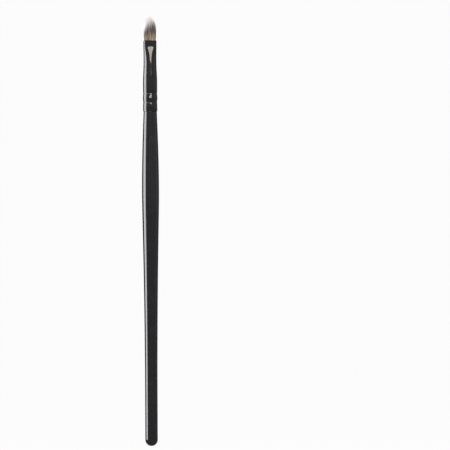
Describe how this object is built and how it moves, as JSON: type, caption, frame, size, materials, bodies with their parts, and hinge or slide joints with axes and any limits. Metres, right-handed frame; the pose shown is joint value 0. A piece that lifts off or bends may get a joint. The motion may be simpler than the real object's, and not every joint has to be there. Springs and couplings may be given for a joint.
{
  "type": "lip brush",
  "caption": "Slim lip brush: turned gloss-black handle with a soft belly and rounded butt, crimped black ferrule pressed oval at its mouth, and a pointed oval two-tone hair tuft.",
  "frame": {"origin": "end of the rounded butt, on the brush's axis", "axes": "+Z along the brush towards its tip, -Y out of the flattened face of the tuft that the picture shows, +X across it"},
  "size_m": [0.0068, 0.0068, 0.1718],
  "materials": {
    "handle_lacquer": "gloss black lacquer",
    "ferrule_black": "gloss black coating",
    "set_glue": "set adhesive",
    "thread": "waxed thread",
    "hair": "soft hair, pale at root and tip, dark between"
  },
  "bodies": {
    "root": {"handle": "handle_lacquer", "tenon_glue": "set_glue", "ferrule": "ferrule_black", "root_plug": "set_glue", "tie_thread": "thread", "hair_core": "hair", "hair_inner": "hair", "hair_middle": "hair", "hair_outer": "hair"}
  },
  "joints": []
}
